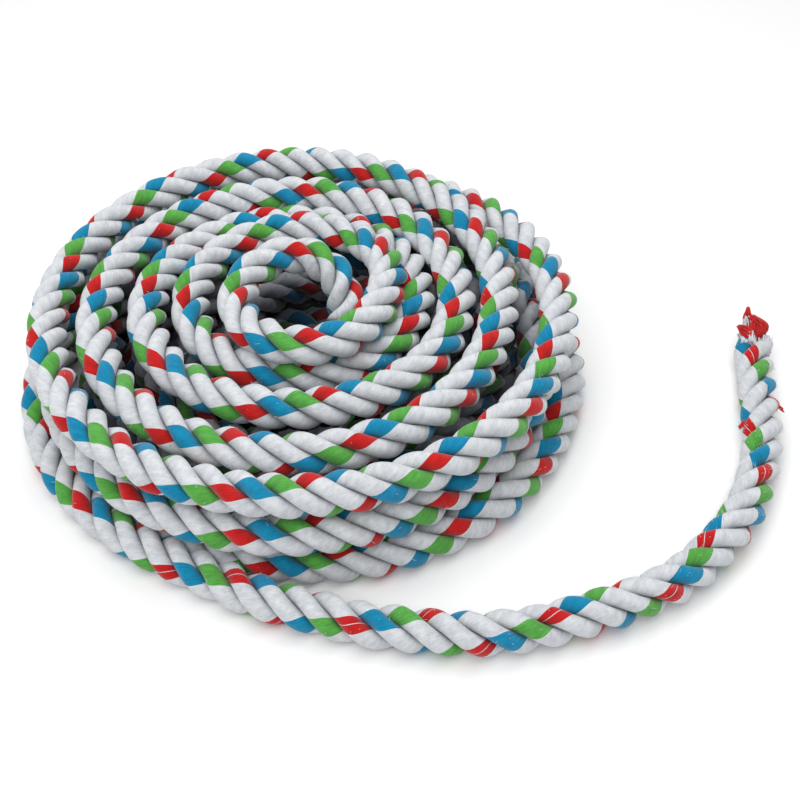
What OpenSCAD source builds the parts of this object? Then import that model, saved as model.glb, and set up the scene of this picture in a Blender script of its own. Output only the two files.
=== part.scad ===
// Tug-of-war rope: one length of three-strand cotton rope, wound on the floor
// into a round three-layer coil, with its free end laid out beside the coil.
// Millimetres, +Z up. The origin is on the floor, at the middle of the footprint.

/* [Rope] */
// Diameter over the three laid strands
rope_d = 24; // [22:0.5:26]
// Diameter of one strand
strand_d = 11; // [10:0.25:11.5]

/* [Coil] */
// Radius over the outermost turns
coil_r = 176; // [172:1:180]
// Height of the top layer of turns
coil_h = 75; // [70:1:79]
// Radius over the raised innermost turn
hub_r = 66; // [58:1:72]
// Height of the raised innermost turn
hub_h = 84; // [80:1:90]
// Radius of the open eye in the middle of the coil
eye_r = 22; // [16:1:30]

/* [Free end] */
// Length of the strands that stand clear of the lay at the cut end
end_l = 13; // [8:1:20]
// Width of the spread red yarns on the cut end
tuft_w = 20; // [14:1:24]

/* [Hidden] */

// The coil's axis, from the middle of the footprint
coil_axis = [-65, 19];
// Rounding of the outer shoulder and of the step up to the innermost turn
shoulder_r = rope_d / 2;
step_r = rope_d / 4;

// Middle of the rope along the stretch that isn't coiled, from the coil's axis.
// It leaves the outermost floor turn at the front left, runs along the front,
// and bends round to the right and back.
route = [
    [-60, -156], [-36, -168], [-10, -180], [16, -188], [44, -196], [74, -200],
    [104, -202], [134, -198], [162, -190], [190, -180], [216, -166], [238, -146],
    [258, -122], [272, -94], [282, -64], [286, -36], [290, -6], [294, 22]
];
tube_sides = 10;
last = len(route) - 1;

// Heading of the rope at one route point, from its neighbours on both sides
function heading(i) =
    let (step = route[min(i + 1, last)] - route[max(i - 1, 0)])
    atan2(step[1], step[0]);

// One ring of the tube: an upright polygon across the rope, standing on the floor
function ring(i) = [
    for (k = [0 : tube_sides - 1])
        let (turn = 90 + 360 * k / tube_sides, out = rope_d / 2 * cos(turn))
        [
            route[i][0] + out * cos(heading(i) - 90),
            route[i][1] + out * sin(heading(i) - 90),
            rope_d / 2 * (1 + sin(turn))
        ]
];

// The two triangles between neighbouring sides of neighbouring rings
function side_faces(i, k) =
    let (
        a = i * tube_sides + k,
        b = i * tube_sides + (k + 1) % tube_sides
    )
    [[a, b, b + tube_sides], [a, b + tube_sides, a + tube_sides]];

// The coil's half section: flat under the floor turns, round at the outer
// shoulder, and stepped up to the innermost turn
module coil_section() {
    translate([eye_r, 0]) square([coil_r - eye_r - shoulder_r, coil_h]);
    translate([eye_r, 0]) square([coil_r - eye_r, coil_h - shoulder_r]);
    translate([coil_r - shoulder_r, coil_h - shoulder_r]) circle(shoulder_r, $fn = 64);
    translate([eye_r, 0]) square([hub_r - eye_r - step_r, hub_h]);
    translate([eye_r, 0]) square([hub_r - eye_r, hub_h - step_r]);
    translate([hub_r - step_r, hub_h - step_r]) circle(step_r, $fn = 48);
}

module coil() {
    color("whitesmoke")
        translate([coil_axis[0], coil_axis[1], 0])
            rotate_extrude($fn = 128) coil_section();
}

// The free stretch, cut back to the outside of the coil that it leaves
module tail() {
    rings = [for (i = [0 : last]) each ring(i)];
    sides = [for (i = [0 : last - 1], k = [0 : tube_sides - 1]) each side_faces(i, k)];
    first_cap = [for (k = [tube_sides - 1 : -1 : 0]) k];
    last_cap = [for (k = [0 : tube_sides - 1]) last * tube_sides + k];
    color("whitesmoke")
        translate([coil_axis[0], coil_axis[1], 0])
            difference() {
                polyhedron(rings, concat(sides, [first_cap, last_cap]));
                translate([0, 0, -rope_d]) cylinder(3 * rope_d, coil_r, coil_r, $fn = 128);
            }
}

// Places its children at the cut end, +Z along the rope
module at_cut_end() {
    translate([coil_axis[0] + route[last][0], coil_axis[1] + route[last][1], rope_d / 2])
        rotate([0, 90, heading(last)])
            children();
}

// One strand's round-nosed end, at its place round the rope's middle
module strand_end(turn) {
    off_middle = strand_d / sqrt(3) + 0.1;
    rotate([0, 0, turn])
        translate([off_middle, 0, 0]) {
            cylinder(end_l - strand_d / 2, strand_d / 2, strand_d / 2, $fn = 48);
            translate([0, 0, end_l - strand_d / 2]) sphere(strand_d / 2, $fn = 48);
        }
}

module strand_end_green() {
    color("forestgreen") at_cut_end() strand_end(60);
}

module strand_end_red() {
    color("red") at_cut_end() strand_end(180);
}

module strand_end_blue() {
    color("steelblue") at_cut_end() strand_end(300);
}

// The cut red yarns, spread into a cap over the strand ends
module red_yarn_tuft() {
    lip = tuft_w / 5;
    color("crimson")
        at_cut_end()
            translate([0, 0, end_l + 0.2]) {
                cylinder(lip, tuft_w / 2, tuft_w / 2, $fn = 48);
                translate([0, 0, lip]) cylinder(2 * lip, tuft_w / 2, lip, $fn = 48);
            }
}

coil();
tail();
strand_end_green();
strand_end_red();
strand_end_blue();
red_yarn_tuft();
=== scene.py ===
"""Tug-of-war rope: three twisted cotton strands, laid into one rope, wound into a
round coil with the free end beside it. Each strand carries one band of dyed
marker yarns: green, red or blue. Metres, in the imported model's frame."""
import math
import random

import bpy
import numpy as np
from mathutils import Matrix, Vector


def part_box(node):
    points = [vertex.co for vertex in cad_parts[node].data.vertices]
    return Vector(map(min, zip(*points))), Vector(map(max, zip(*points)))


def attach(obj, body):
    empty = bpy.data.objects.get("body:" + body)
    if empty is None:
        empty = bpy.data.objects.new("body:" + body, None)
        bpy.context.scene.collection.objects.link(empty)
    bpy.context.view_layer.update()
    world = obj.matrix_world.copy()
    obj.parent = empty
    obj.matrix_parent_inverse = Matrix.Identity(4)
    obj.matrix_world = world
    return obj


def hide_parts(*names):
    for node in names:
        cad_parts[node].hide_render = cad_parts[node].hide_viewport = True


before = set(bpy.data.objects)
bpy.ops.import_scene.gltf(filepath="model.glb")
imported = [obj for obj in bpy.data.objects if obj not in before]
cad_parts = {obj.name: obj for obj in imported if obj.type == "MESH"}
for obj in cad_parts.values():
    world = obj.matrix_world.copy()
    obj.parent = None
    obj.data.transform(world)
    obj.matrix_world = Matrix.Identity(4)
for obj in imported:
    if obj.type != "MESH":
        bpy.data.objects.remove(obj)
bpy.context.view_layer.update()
coil_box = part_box("coil")
tail_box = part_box("tail")

# ---- Rope: sizes in metres, worked out from the rope's diameter ----
rope_d = tail_box[1][2] - tail_box[0][2]    # over the three strands
lay_length = 2.42 * rope_d                  # one full turn of the strands
end_lay_length = 2.2 * rope_d               # which is shorter at the cut end
strand_middle = 0.268 * rope_d              # strand's middle, from the rope's middle
strand_out = 0.232 * rope_d                 # strand's half height, away from the rope's middle
strand_side = 0.250 * rope_d                # strand's half width, before its neighbours press it flat
strand_gap = 0.004 * rope_d                 # what is left open between two pressed strands
thick_and_thin = 0.035                      # how much of its thickness a strand gains or loses

coil_middle = [(low + high) / 2 for low, high in zip(*coil_box)]
turns_shift = 0.006                         # the turns lie a little to the right in the coil's box
turns_middle = (coil_middle[0] + turns_shift, coil_middle[1])


# ---- Camera: above and in front of the coil, as someone standing over it sees it ----
def add_camera():
    """A normal lens that looks down at 46 degrees along +Y."""
    camera = bpy.data.objects.new("camera", bpy.data.cameras.new("camera"))
    bpy.context.scene.collection.objects.link(camera)
    camera.data.lens = 50
    camera.data.sensor_width = 36
    target = (turns_middle[0] + 2.36 * rope_d, turns_middle[1] - 2.36 * rope_d, 1.5 * rope_d)
    down, distance = math.radians(46), 27.5 * rope_d
    camera.location = (
        target[0],
        target[1] - distance * math.cos(down),
        target[2] + distance * math.sin(down),
    )
    camera.rotation_euler = (math.pi / 2 - down, 0, 0)
    bpy.context.scene.camera = camera


# ---- Route of the rope's middle ----
# It winds counter-clockwise from above, starting with the inner end, in rope diameters.
# A turn that can be seen has a line with its reach to the right, back, left and front
# of the coil's middle, and its height there. A coil that is laid by hand isn't even.
top_turns = [
    ((0.9, 1.4, 1.7, 2.1), (1.9, 3.0, 3.0, 3.1)),
    ((2.0, 3.1, 3.0, 2.2), (3.0, 2.6, 2.5, 2.1)),
    ((2.7, 3.9, 4.1, 3.6), (2.3, 2.2, 2.5, 2.5)),
    ((3.8, 4.7, 5.3, 5.1), (2.5, 2.6, 2.6, 2.6)),
    ((4.9, 6.2, 6.5, 6.3), (2.6, 2.6, 2.6, 2.6)),
]
step_down_turn = ((6.4, 6.8, 6.5, 6.5), (2.5, 1.6, 1.5, 1.5))
floor_turns = [
    ((5.2, 5.5, 5.6, 6.5), (0.5, 0.5, 0.5, 0.5)),
    ((6.8, 6.9, 7.1, 6.9), (0.5, 0.5, 0.5, 0.5)),
]
# The turns between these are covered. They wind in, and then out again on the floor
covered_turns = 4
wind_in_from, wind_in_step, wind_in_height = 5.9, 1.15, 1.4
wind_out_from, wind_out_step, wind_out_height = 1.3, 0.95, 0.5
# The free stretch, as in the CAD model: millimetres from the coil's middle
tail_route = [
    (-60, -156), (-36, -168), (-10, -180), (16, -188), (44, -196), (74, -200),
    (104, -202), (134, -198), (162, -190), (190, -180), (216, -166), (238, -146),
    (258, -122), (272, -94), (282, -64), (286, -36), (290, -6), (294, 22),
]


def smooth(known, values, wanted):
    """Values at the wanted places, on a smooth curve through the known ones."""
    known = np.asarray(known, float)
    values = np.asarray(values, float)
    slopes = np.gradient(values, known, axis=0)
    i = np.clip(np.searchsorted(known, wanted, side="right") - 1, 0, len(known) - 2)
    span = (known[i + 1] - known[i])[:, None]
    t = (wanted - known[i])[:, None] / span
    return (
        (2 * t**3 - 3 * t**2 + 1) * values[i]
        + (t**3 - 2 * t**2 + t) * span * slopes[i]
        + (3 * t**2 - 2 * t**3) * values[i + 1]
        + (t**3 - t**2) * span * slopes[i + 1]
    )


def distance_along(points):
    """How far along the line each point is."""
    steps = np.linalg.norm(np.diff(points, axis=0), axis=1)
    return np.concatenate([[0], np.cumsum(steps)])


def coil_stations():
    """Reach and height for each quarter of a turn, in rope diameters."""
    stations = []
    for reach, height in top_turns + [step_down_turn]:
        stations.extend(zip(reach, height))
    for quarter in range(4 * covered_turns):
        stations.append((wind_in_from - wind_in_step * quarter / 4, wind_in_height))
    for quarter in range(4 * covered_turns):
        stations.append((wind_out_from + wind_out_step * quarter / 4, wind_out_height))
    for reach, height in floor_turns:
        stations.extend(zip(reach, height))
    return np.array(stations)


def rope_route():
    """Close points on the rope's middle line, how far along each is, and where the tail starts."""
    stations = coil_stations()
    angles = 90.0 * np.arange(len(stations))
    fine_angles = np.arange(0, angles[-1] - 40, 15.0)       # the tail leaves at the front left
    out, up = (smooth(angles, stations, fine_angles) * rope_d).T
    turn = np.radians(fine_angles)
    coiled = np.column_stack([
        turns_middle[0] + out * np.cos(turn),
        turns_middle[1] + out * np.sin(turn),
        up,
    ])
    free = np.array([
        (coil_middle[0] + x / 1000, coil_middle[1] + y / 1000, rope_d / 2)
        for x, y in tail_route
    ])
    knots = np.vstack([coiled, free])
    along = distance_along(knots)
    fine = smooth(along, knots, np.arange(0, along[-1], rope_d / 20))
    fine_along = distance_along(fine)
    tail_from = along[len(coiled)]
    return fine, fine_along, tail_from


route, route_along, tail_from = rope_route()
route_end = route_along[-1]


def turn_start(turn):
    """How far along the rope this turn starts, counted from its first, which is 0."""
    heading = np.unwrap(np.arctan2(route[:, 1] - turns_middle[1], route[:, 0] - turns_middle[0]))
    return float(np.interp(2 * math.pi * turn, heading - heading[0], route_along))


covered_from = turn_start(len(top_turns) + 1)
covered_to = turn_start(len(top_turns) + 1 + 2 * covered_turns)


def at(places):
    """Points on the rope's middle line at these distances along it."""
    return np.column_stack([np.interp(places, route_along, route[:, k]) for k in range(3)])


def rope_frames(places):
    """The rope's middle, the directions across it, up and to its right, and its heading."""
    middle = at(places)
    ahead = at(places + rope_d / 10) - at(places - rope_d / 10)
    ahead /= np.linalg.norm(ahead, axis=1)[:, None]
    up = np.array([0.0, 0.0, 1.0]) - ahead[:, 2:] * ahead
    up /= np.linalg.norm(up, axis=1)[:, None]
    return middle, up, np.cross(ahead, up), ahead


# ---- Strands ----
# Mesh columns round a strand follow its yarns. Some of them are dyed, and a red
# band has one narrow undyed yarn in it.
seen_rings = 28             # rings to each lay length where the rope can be seen
hidden_rings = 9            # and where turns lie over it
line_column = 3             # mesh column of the undyed line in a band that has one
yarn_turns = 2.64           # turns of the yarns about the strand to each lay length

groove_shade = 0.7          # how dark the painted shade at the bottom of a groove gets
groove_from, groove_to = 0.28, 0.6      # depths where that starts and ends, as parts of the radius
coil_shade = 0.9            # how dark the painted shade gets between the turns inside the coil
cut_place = route_end - 0.3 * rope_d    # where the lay stops, and the strands open
cut_lay = 0.55              # turns from the top to the green strand at the cut
cut_band = 0.6              # turns from the outside to a strand's dyed band there
twist_wander = 0.08         # turns that coiling by hand adds or takes here and there
wander_slowness = 4         # how much slower that goes than a strand's own unevenness
wander_seed = 4


def column_edges(dyed, line=0.0):
    """Angles of a strand's mesh columns, in degrees, and which of them are dyed.
    dyed is the band's width, and line is the width of an undyed yarn in it."""
    half = dyed / 2
    inside = np.linspace(-half, half, 8)
    if line:
        inside[line_column + 1] = inside[line_column] + line
    undyed = np.linspace(half, 360 - half, 17)[1:]
    edges = np.concatenate([inside, undyed])[:-1]
    last_dyed = len(inside) - 2
    is_dyed = [i <= last_dyed and not (line and i == line_column) for i in range(len(edges))]
    return np.radians(edges), is_dyed


def ring_places():
    """Distances along the rope for the mesh rings: close where the rope can be seen."""
    spans = [
        (0, covered_from, seen_rings),
        (covered_from, covered_to, hidden_rings),
        (covered_to, cut_place, seen_rings),
    ]
    places = []
    for start, stop, rings in spans:
        count = round((stop - start) / lay_length * rings)
        places.append(np.linspace(start, stop, count, endpoint=False))
    return np.concatenate(places + [[cut_place]])


def waves(places, seed):
    """A slow, uneven wave along the rope, mostly between -1 and 1."""
    spread = random.Random(seed)
    parts = [(spread.uniform(0.6, 3.0), spread.uniform(0, 2 * math.pi)) for _ in range(6)]
    return sum(np.sin(places / rope_d * pace + start) for pace, start in parts) / 3


def strand_twist(places):
    """Turns of the lay, and of the yarns about their strand, at each place."""
    tighter = np.clip((route_along - tail_from) / (route_end - tail_from), 0, 1)
    rate = 1 / lay_length + tighter * (1 / end_lay_length - 1 / lay_length)
    steps = np.diff(route_along) * (rate[1:] + rate[:-1]) / 2
    lay = np.concatenate([[0], np.cumsum(steps)])
    since_cut = np.interp(places, route_along, lay) - np.interp(cut_place, route_along, lay)
    coiled = np.clip((tail_from - places) / rope_d, 0, 1)
    slip = twist_wander * coiled * waves(places / wander_slowness, wander_seed)
    return cut_lay + since_cut + slip, yarn_turns * since_cut - cut_band


def strand_grid(order, places, angles):
    """The strand's surface points, ring by ring. order is 0 green, 1 red, 2 blue."""
    middle, up, side, _ = rope_frames(places)
    lay, yarns = strand_twist(places)
    lay = 2 * math.pi * (lay - order / 3)
    turn = 2 * math.pi * (2 * order / 3 - yarns)[:, None] + angles[None, :]
    size = 1 + thick_and_thin * waves(places, order)[:, None]
    out = strand_middle + size * strand_out * np.cos(turn)
    across = size * strand_side * np.sin(turn)
    room = out * math.tan(math.pi / 3) - strand_gap
    across = np.clip(across, -room, room)
    cos, sin = np.cos(lay)[:, None, None], np.sin(lay)[:, None, None]
    outward = cos * up[:, None, :] + sin * side[:, None, :]
    around = -sin * up[:, None, :] + cos * side[:, None, :]
    grid = middle[:, None, :] + out[..., None] * outward + across[..., None] * around
    grid[..., 2] = np.maximum(grid[..., 2], 0)      # the rope's weight flattens it on the floor
    return grid


def add_mesh(name, points, faces, materials, slots=None):
    """A smooth-shaded mesh piece that rides with the rope."""
    mesh = bpy.data.meshes.new(name)
    mesh.from_pydata(points, [], faces)
    for material in materials:
        mesh.materials.append(material)
    if slots is not None:
        mesh.polygons.foreach_set("material_index", slots)
    mesh.polygons.foreach_set("use_smooth", [True] * len(faces))
    piece = bpy.data.objects.new(name, mesh)
    bpy.context.scene.collection.objects.link(piece)
    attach(piece, "root")
    return piece


def add_strand(name, order, dye, dyed, line=0.0):
    """One strand of the rope, with its band of dyed yarns. An undyed line in the
    band opens up only on the free stretch."""
    places = ring_places()
    angles, is_dyed = column_edges(dyed, line)
    grid = strand_grid(order, places, angles)
    rings, columns = grid.shape[:2]
    index = np.arange(rings * columns).reshape(rings, columns)
    beside = np.roll(index, -1, axis=1)
    faces = np.stack([index[:-1], beside[:-1], beside[1:], index[1:]], axis=-1).reshape(-1, 4)
    slots = [
        int(is_dyed[column] or (column == line_column and place < tail_from))
        for place in places[:-1]
        for column in range(columns)
    ]
    caps = [index[0][::-1].tolist(), index[-1].tolist()]
    piece = add_mesh(
        name,
        grid.reshape(-1, 3).tolist(),
        faces.tolist() + caps,
        [cotton, dye],
        slots + [0, 0],
    )
    add_yarn_space(piece, places, angles)
    add_shade(piece, grid, places)
    return piece


def add_shade(piece, grid, places):
    """Stores painted shade for each point, darker where little light gets: in the grooves between the
    strands, and between the turns inside the coil. 0 is open and 1 is closed in."""
    depth = 1 - np.linalg.norm(grid - at(places)[:, None, :], axis=2) / (rope_d / 2)
    groove = groove_shade * np.clip((depth - groove_from) / (groove_to - groove_from), 0, 1) ** 1.5
    from_axis = np.hypot(grid[..., 0] - turns_middle[0], grid[..., 1] - turns_middle[1])
    inside = np.clip((6.4 * rope_d - from_axis) / (0.8 * rope_d), 0, 1)
    below = np.clip((2.45 * rope_d - grid[..., 2]) / (0.9 * rope_d), 0, 1)
    shade = 1 - (1 - groove) * (1 - coil_shade * inside * below)
    layer = piece.data.attributes.new("shade", "FLOAT", "POINT")
    layer.data.foreach_set("value", shade.ravel())


def add_yarn_space(piece, places, angles):
    """Stores each point's place in its strand as if untwisted, for the yarns' texture."""
    flat = np.empty((len(places), len(angles), 3))
    flat[..., 0] = strand_out * np.cos(angles)
    flat[..., 1] = strand_out * np.sin(angles)
    flat[..., 2] = places[:, None]
    layer = piece.data.attributes.new("yarn_space", "FLOAT_VECTOR", "POINT")
    layer.data.foreach_set("vector", flat.ravel())


# ---- Materials ----
def add_noise(tree, vector, scale, detail, roughness=0.5):
    """A noise texture's factor."""
    noise = tree.nodes.new("ShaderNodeTexNoise")
    noise.inputs["Scale"].default_value = scale
    noise.inputs["Detail"].default_value = detail
    noise.inputs["Roughness"].default_value = roughness
    tree.links.new(vector, noise.inputs["Vector"])
    return noise.outputs["Fac"]


def add_ramp(tree, factor, low, low_colour, high, high_colour):
    """A colour that goes from low_colour at factor low to high_colour at factor high."""
    ramp = tree.nodes.new("ShaderNodeValToRGB")
    for element, place, colour in zip(ramp.color_ramp.elements, (low, high), (low_colour, high_colour)):
        element.position = place
        element.color = (*colour, 1)
    tree.links.new(factor, ramp.inputs["Fac"])
    return ramp.outputs["Color"]


def add_multiply(tree, first, second):
    """Two colours multiplied."""
    mix = tree.nodes.new("ShaderNodeMix")
    mix.data_type = "RGBA"
    mix.blend_type = "MULTIPLY"
    mix.inputs["Factor"].default_value = 1.0
    tree.links.new(first, mix.inputs["A"])
    tree.links.new(second, mix.inputs["B"])
    return mix.outputs["Result"]


def yarn_material(name, colour, dark):
    """Soft twisted cotton: fibres that run along the yarns, with a matte, slightly fuzzy surface."""
    material = bpy.data.materials.new(name)
    material.use_nodes = True
    tree = material.node_tree
    shader = tree.nodes["Principled BSDF"]
    shader.inputs["Roughness"].default_value = 0.9
    shader.inputs["Specular IOR Level"].default_value = 0.2
    shader.inputs["Sheen Weight"].default_value = 0.25
    shader.inputs["Sheen Roughness"].default_value = 0.5

    place = tree.nodes.new("ShaderNodeAttribute")
    place.attribute_name = "yarn_space"
    stretch = tree.nodes.new("ShaderNodeMapping")
    stretch.inputs["Scale"].default_value = (1800, 1800, 150)
    tree.links.new(place.outputs["Vector"], stretch.inputs["Vector"])
    fibres = add_noise(tree, stretch.outputs["Vector"], 1.0, 5.0, 0.65)
    base = add_ramp(tree, fibres, 0.3, dark, 0.62, colour)

    # Softly uneven, a few millimetres at a time
    uneven = add_noise(tree, place.outputs["Vector"], 260.0, 3.0)
    mottling = add_ramp(tree, uneven, 0.3, (0.80, 0.81, 0.83), 0.65, (1, 1, 1))
    base = add_multiply(tree, base, mottling)

    # Bits of seed husk that stay in the cotton
    husk = add_noise(tree, place.outputs["Vector"], 700.0, 1.0)
    specks = add_ramp(tree, husk, 0.74, (1, 1, 1), 0.80, (0.62, 0.56, 0.45))
    base = add_multiply(tree, base, specks)

    # Painted shade: the colour is darkened down in the grooves and inside the coil, where little light
    # gets in
    painted_shade_node = tree.nodes.new("ShaderNodeAttribute")
    painted_shade_node.attribute_name = "shade"
    shade = add_ramp(tree, painted_shade_node.outputs["Fac"], 0.0, (1, 1, 1), 1.0, (0.04, 0.045, 0.08))
    base = add_multiply(tree, base, shade)
    tree.links.new(base, shader.inputs["Base Color"])

    bump = tree.nodes.new("ShaderNodeBump")
    bump.inputs["Strength"].default_value = 0.5
    bump.inputs["Distance"].default_value = 0.0006
    tree.links.new(fibres, bump.inputs["Height"])
    tree.links.new(bump.outputs["Normal"], shader.inputs["Normal"])
    return material


add_camera()
cotton = yarn_material("cotton_white", (0.70, 0.72, 0.74), (0.56, 0.58, 0.61))
green = yarn_material("tracer_green", (0.11, 0.42, 0.07), (0.065, 0.28, 0.04))
red = yarn_material("tracer_red", (0.60, 0.010, 0.010), (0.42, 0.007, 0.007))
blue = yarn_material("tracer_blue", (0.002, 0.26, 0.46), (0.001, 0.17, 0.32))

strand_green = add_strand("strand_green", 0, green, dyed=128)
strand_red = add_strand("strand_red", 1, red, dyed=104, line=4)
strand_blue = add_strand("strand_blue", 2, blue, dyed=138)
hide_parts("coil", "tail", "strand_end_green")
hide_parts("strand_end_red", "red_yarn_tuft")
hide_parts("strand_end_blue")


# ---- Frayed end ----
def tubes(lines, radius, sides=5):
    """Points and faces of thin yarns along lines, closed at both ends.
    Each line is an array of points."""
    points, faces = [], []
    turn = 2 * math.pi * np.arange(sides) / sides
    for line in lines:
        ahead = np.gradient(line, axis=0)
        ahead /= np.linalg.norm(ahead, axis=1)[:, None]
        across = np.cross(ahead, (0.31, 0.23, 0.92))
        across /= np.linalg.norm(across, axis=1)[:, None]
        over = np.cross(ahead, across)
        taper = radius * np.linspace(1.0, 0.6, len(line))[:, None, None]
        ring = np.cos(turn)[None, :, None] * across[:, None, :]
        ring = ring + np.sin(turn)[None, :, None] * over[:, None, :]
        first = len(points)
        skin = line[:, None, :] + taper * ring
        skin[..., 2] = np.maximum(skin[..., 2], radius / 2)
        points.extend(skin.reshape(-1, 3).tolist())
        for i in range(len(line) - 1):
            for k in range(sides):
                a = first + i * sides + k
                b = first + i * sides + (k + 1) % sides
                faces.append((a, b, b + sides, a + sides))
        faces.append(tuple(first + k for k in reversed(range(sides))))
        faces.append(tuple(first + (len(line) - 1) * sides + k for k in range(sides)))
    return points, faces


def yarn_bunch(spread, root, tip, wide, thick, wide_along, sag, count):
    """Lines of a bunch of yarns from root to tip, which widens in the middle."""
    ahead = (tip - root) / np.linalg.norm(tip - root)
    flat = wide_along - ahead * np.dot(wide_along, ahead)
    flat /= np.linalg.norm(flat)
    through = np.cross(ahead, flat)
    t = np.linspace(0, 1, 9)[:, None]
    swell = 0.45 + 2.2 * t * (1 - t) - 0.2 * t**3
    lines = []
    for _ in range(count):
        turn, out = spread.uniform(0, 2 * math.pi), math.sqrt(spread.random())
        reach = spread.uniform(0.75, 1.05)
        offset = wide * out * math.cos(turn) * flat + thick * out * math.sin(turn) * through
        wave = spread.uniform(0.02, 0.07) * rope_d * t * np.sin(t * spread.uniform(4, 8) + turn)
        lines.append(root + (tip - root) * t * reach + offset * swell + sag * 4 * t * (1 - t)
                     + wave * (through + 0.6 * flat))
    return lines


def at_end(right, on, up):
    """A point by the cut end, in rope diameters to its right, on along it, and up."""
    middle, _, side, ahead = rope_frames(np.array([cut_place]))
    return middle[0] + rope_d * (right * side[0] + on * ahead[0] + np.array([0, 0, up]))


def add_yarns(name, lines, radius, material):
    """A piece made of thin yarns."""
    piece = add_mesh(name, *tubes(lines, radius), [material])
    layer = piece.data.attributes.new("yarn_space", "FLOAT_VECTOR", "POINT")
    layer.data.foreach_set("vector", [v for point in piece.data.vertices for v in point.co])
    return piece


def add_strand_end(name, order, spread):
    """The opened end of one strand: a brush of short undyed yarns."""
    places = np.array([cut_place])
    middle, up, side, ahead = rope_frames(places)
    lay = 2 * math.pi * (strand_twist(places)[0][0] - order / 3)
    outward = math.cos(lay) * up[0] + math.sin(lay) * side[0]
    heart = middle[0] + strand_middle * outward
    over = np.cross(ahead[0], outward)
    t = np.linspace(0, 1, 6)[:, None]
    lines = []
    for _ in range(110):
        turn, out = spread.uniform(0, 2 * math.pi), math.sqrt(spread.random())
        offset = strand_out * out * (math.cos(turn) * outward + math.sin(turn) * over)
        reach = rope_d * spread.uniform(0.14, 0.34) * (1.1 - 0.5 * out)
        flare = rope_d * spread.uniform(0.02, 0.10) * out
        bend = offset / strand_out * flare + outward * rope_d * 0.03
        lines.append(heart + offset - 0.2 * rope_d * ahead[0]
                     + (0.2 * rope_d + reach) * t * ahead[0] + bend * t**2)
    return add_yarns(name, lines, 0.034 * rope_d, cotton)


def add_red_tuft():
    """The cut red yarns: one broad bunch, one pointed, and one turned down, with white between."""
    spread = random.Random(5)
    right = np.array([1.0, 0.0, 0.0])
    bunches = [
        yarn_bunch(spread, at_end(-0.05, 0.1, 0.2), at_end(-0.08, 0.58, 0.62),
                   0.3 * rope_d, 0.12 * rope_d, right, np.array([0.003, 0, 0.002]), 90),
        yarn_bunch(spread, at_end(-0.15, 0.35, 0.35), at_end(-0.24, 0.72, 0.82),
                   0.12 * rope_d, 0.06 * rope_d, right, np.array([-0.0005, 0, 0]), 30),
        yarn_bunch(spread, at_end(-0.1, 0.0, 0.35), at_end(-0.48, 0.2, 0.52),
                   0.15 * rope_d, 0.08 * rope_d, np.array([0.1, 1.0, 0.5]), np.array([0, 0, 0.001]), 44),
    ]
    lines = [line for bunch in bunches for line in bunch]
    tuft = add_yarns("red_yarn_ends", lines, 0.034 * rope_d, red)
    white = yarn_bunch(spread, at_end(-0.2, 0.15, 0.4), at_end(-0.26, 0.55, 0.68),
                       0.12 * rope_d, 0.06 * rope_d, right, np.array([0, 0, 0]), 16)
    wisps = add_yarns("white_wisps", white, 0.02 * rope_d, cotton)
    return [tuft, wisps]


def add_loose_yarns():
    """A dark red yarn end and a few more that stand out of the lay near the cut end."""
    spread = random.Random(11)
    lines = []
    for back, side_of, length in ((2.9, -1, 0.3), (3.0, -1, 0.26), (2.2, 1, 0.2), (2.25, 1, 0.24)):
        middle, up, side, ahead = rope_frames(np.array([cut_place - back * rope_d]))
        root = middle[0] + 0.46 * rope_d * (side_of * side[0] + 0.15 * up[0])
        t = np.linspace(0, 1, 6)[:, None]
        lines.append(root + rope_d * length * (t * (0.5 * side_of * side[0] - 0.8 * ahead[0])
                     + spread.uniform(-0.1, 0.2) * t**2 * up[0]))
    return add_yarns("loose_yarn_ends", lines, 0.04 * rope_d, red)


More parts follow.
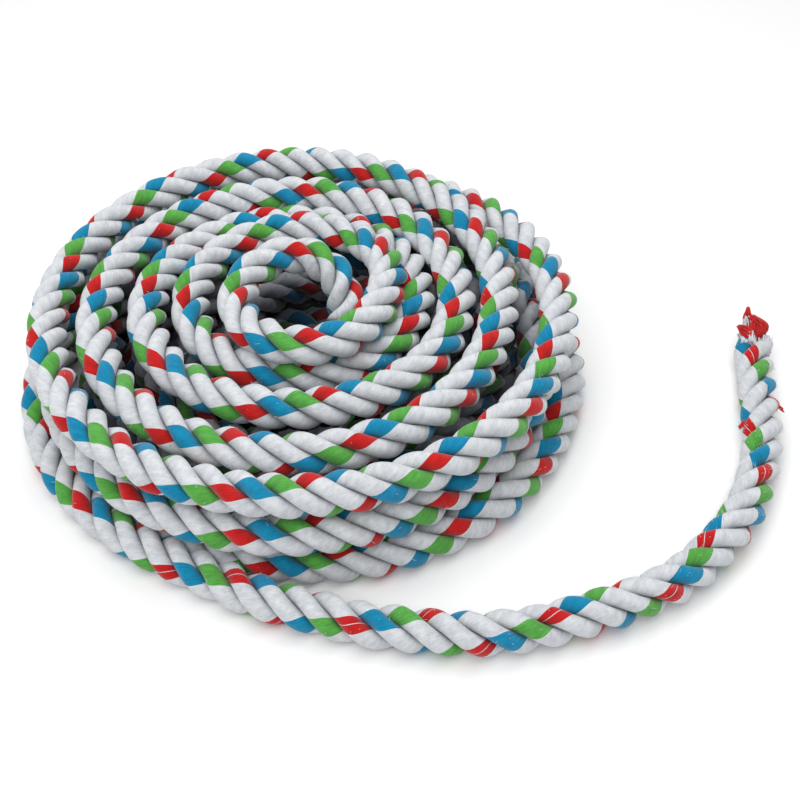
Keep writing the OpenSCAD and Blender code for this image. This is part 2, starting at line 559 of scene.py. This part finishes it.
def add_fuzz():
    """Short cotton fibres that stand out of the strands, thicker towards the cut end."""
    spread = random.Random(3)
    lines = []
    t = np.linspace(0, 1, 4)[:, None]
    spots = [spread.uniform(0, covered_from) for _ in range(900)]
    spots += [spread.uniform(covered_to, tail_from) for _ in range(300)]
    spots += [cut_place - abs(spread.gauss(0, 0.45)) * (cut_place - tail_from) for _ in range(1200)]
    spots = np.clip(np.array(spots), 0, cut_place)
    middles, ups, sides, aheads = rope_frames(spots)
    lays = 2 * math.pi * strand_twist(spots)[0]
    for middle, up, side, ahead, lay in zip(middles, ups, sides, aheads, lays):
        turn = lay + 2 * math.pi / 3 * spread.randrange(3) + spread.uniform(-0.6, 0.6)
        outward = math.cos(turn) * up + math.sin(turn) * side
        around = -math.sin(turn) * up + math.cos(turn) * side
        root = middle + 0.47 * rope_d * outward
        length = rope_d * spread.uniform(0.03, 0.09)
        lean = spread.uniform(-1, 1) * ahead + spread.uniform(-1, 1) * around
        lines.append(root + length * (t * (0.9 * outward + 0.5 * lean) + 0.6 * t**2 * lean))
    return add_yarns("cotton_fuzz", lines, 0.00009, fluff)


fluff = yarn_material("cotton_fuzz", (0.80, 0.82, 0.84), (0.74, 0.76, 0.78))
end_spread = random.Random(8)
ends = [add_strand_end(f"strand_end_{name}", order, end_spread)
        for order, name in enumerate(("green_strand", "red_strand", "blue_strand"))]
extras = ends + add_red_tuft() + [add_loose_yarns(), add_fuzz()]


# ---- Floor and light ----
def add_floor():
    """A wide pale floor."""
    material = bpy.data.materials.new("floor")
    material.use_nodes = True
    shader = material.node_tree.nodes["Principled BSDF"]
    shader.inputs["Base Color"].default_value = (0.9, 0.9, 0.9, 1)
    shader.inputs["Roughness"].default_value = 0.9
    mesh = bpy.data.meshes.new("floor")
    mesh.from_pydata([(-4, -4, 0), (4, -4, 0), (4, 4, 0), (-4, 4, 0)], [], [(0, 1, 2, 3)])
    mesh.materials.append(material)
    floor = bpy.data.objects.new("floor", mesh)
    bpy.context.scene.collection.objects.link(floor)


def add_light(name, place, size, power):
    """A soft square light that faces the coil."""
    light = bpy.data.lights.new(name, "AREA")
    light.size = size
    light.energy = power
    lamp = bpy.data.objects.new(name, light)
    lamp.location = place
    bpy.context.scene.collection.objects.link(lamp)
    lamp.rotation_euler = (-Vector(place)).to_track_quat("-Z", "Y").to_euler()


add_floor()
add_light("key", (-0.3, -0.45, 1.4), 1.4, 15.5)
add_light("top", (0.1, 0.5, 1.3), 0.8, 6)
world = bpy.data.worlds.new("soft_sky")
bpy.context.scene.world = world
world.use_nodes = True
world.node_tree.nodes["Background"].inputs["Color"].default_value = (1, 1, 1, 1)
world.node_tree.nodes["Background"].inputs["Strength"].default_value = 0.5
bpy.context.scene.view_settings.view_transform = "Standard"
bpy.context.scene.view_settings.look = "None"
